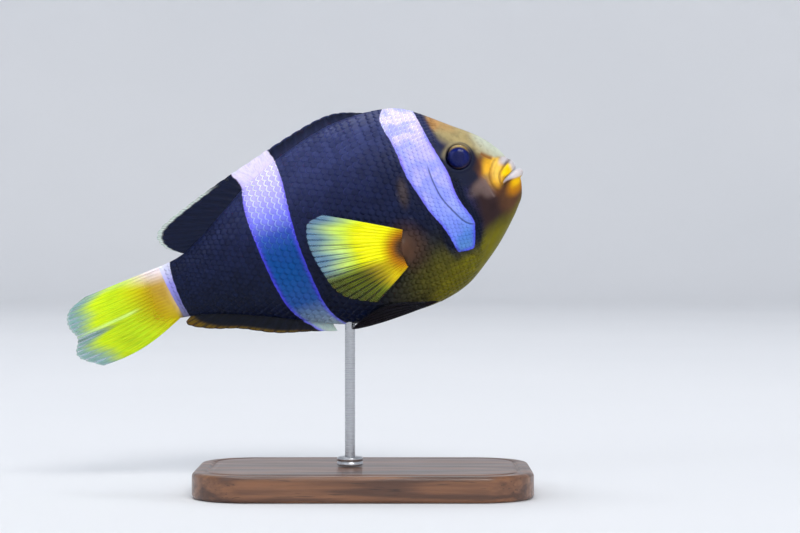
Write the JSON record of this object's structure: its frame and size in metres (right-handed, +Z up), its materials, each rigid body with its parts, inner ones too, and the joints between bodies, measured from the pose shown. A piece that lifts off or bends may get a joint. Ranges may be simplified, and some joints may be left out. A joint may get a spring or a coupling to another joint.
{
  "type": "clownfish",
  "caption": "Life-size clownfish, nose up in mid swim with spread side fins and three pale bars, held on a rod over a flat oblong base.",
  "frame": {"origin": "centre of the base's underside", "axes": "+X towards the head and along the base's length, +Y towards the fish's left, +Z up"},
  "size_m": [0.1093, 0.048, 0.0895],
  "materials": {
    "head_skin": "moist scaled skin, olive brown with a bluish white bar",
    "orange_skin": "smooth moist skin, orange yellow with pale lips",
    "dark_skin": "moist scaled skin, blackish with a bluish white bar",
    "eye": "clear and wet over a dark blue iris",
    "dark_fin": "thin skin over rays, black with a pale or yellow edge",
    "yellow_fin": "thin skin over rays, bright yellow fading to a clear edge",
    "walnut": "satin varnish",
    "steel": "satin"
  },
  "bodies": {
    "root": {"head": "head_skin", "upper_jaw": "orange_skin", "lower_jaw": "orange_skin", "gill_cover_right": "head_skin", "gill_cover_left": "head_skin", "trunk": "dark_skin", "tail_stem": "dark_skin", "eye_right": "eye", "eye_left": "eye", "dorsal_fin_front": "dark_fin", "dorsal_fin_rear": "dark_fin", "anal_fin": "dark_fin", "pelvic_fin_right": "dark_fin", "pelvic_fin_left": "dark_fin", "tail_fin": "yellow_fin", "pectoral_fin_right": "yellow_fin", "pectoral_fin_left": "yellow_fin", "stand_base": "walnut", "stand_collar": "steel", "stand_rod": "steel"}
  },
  "joints": []
}
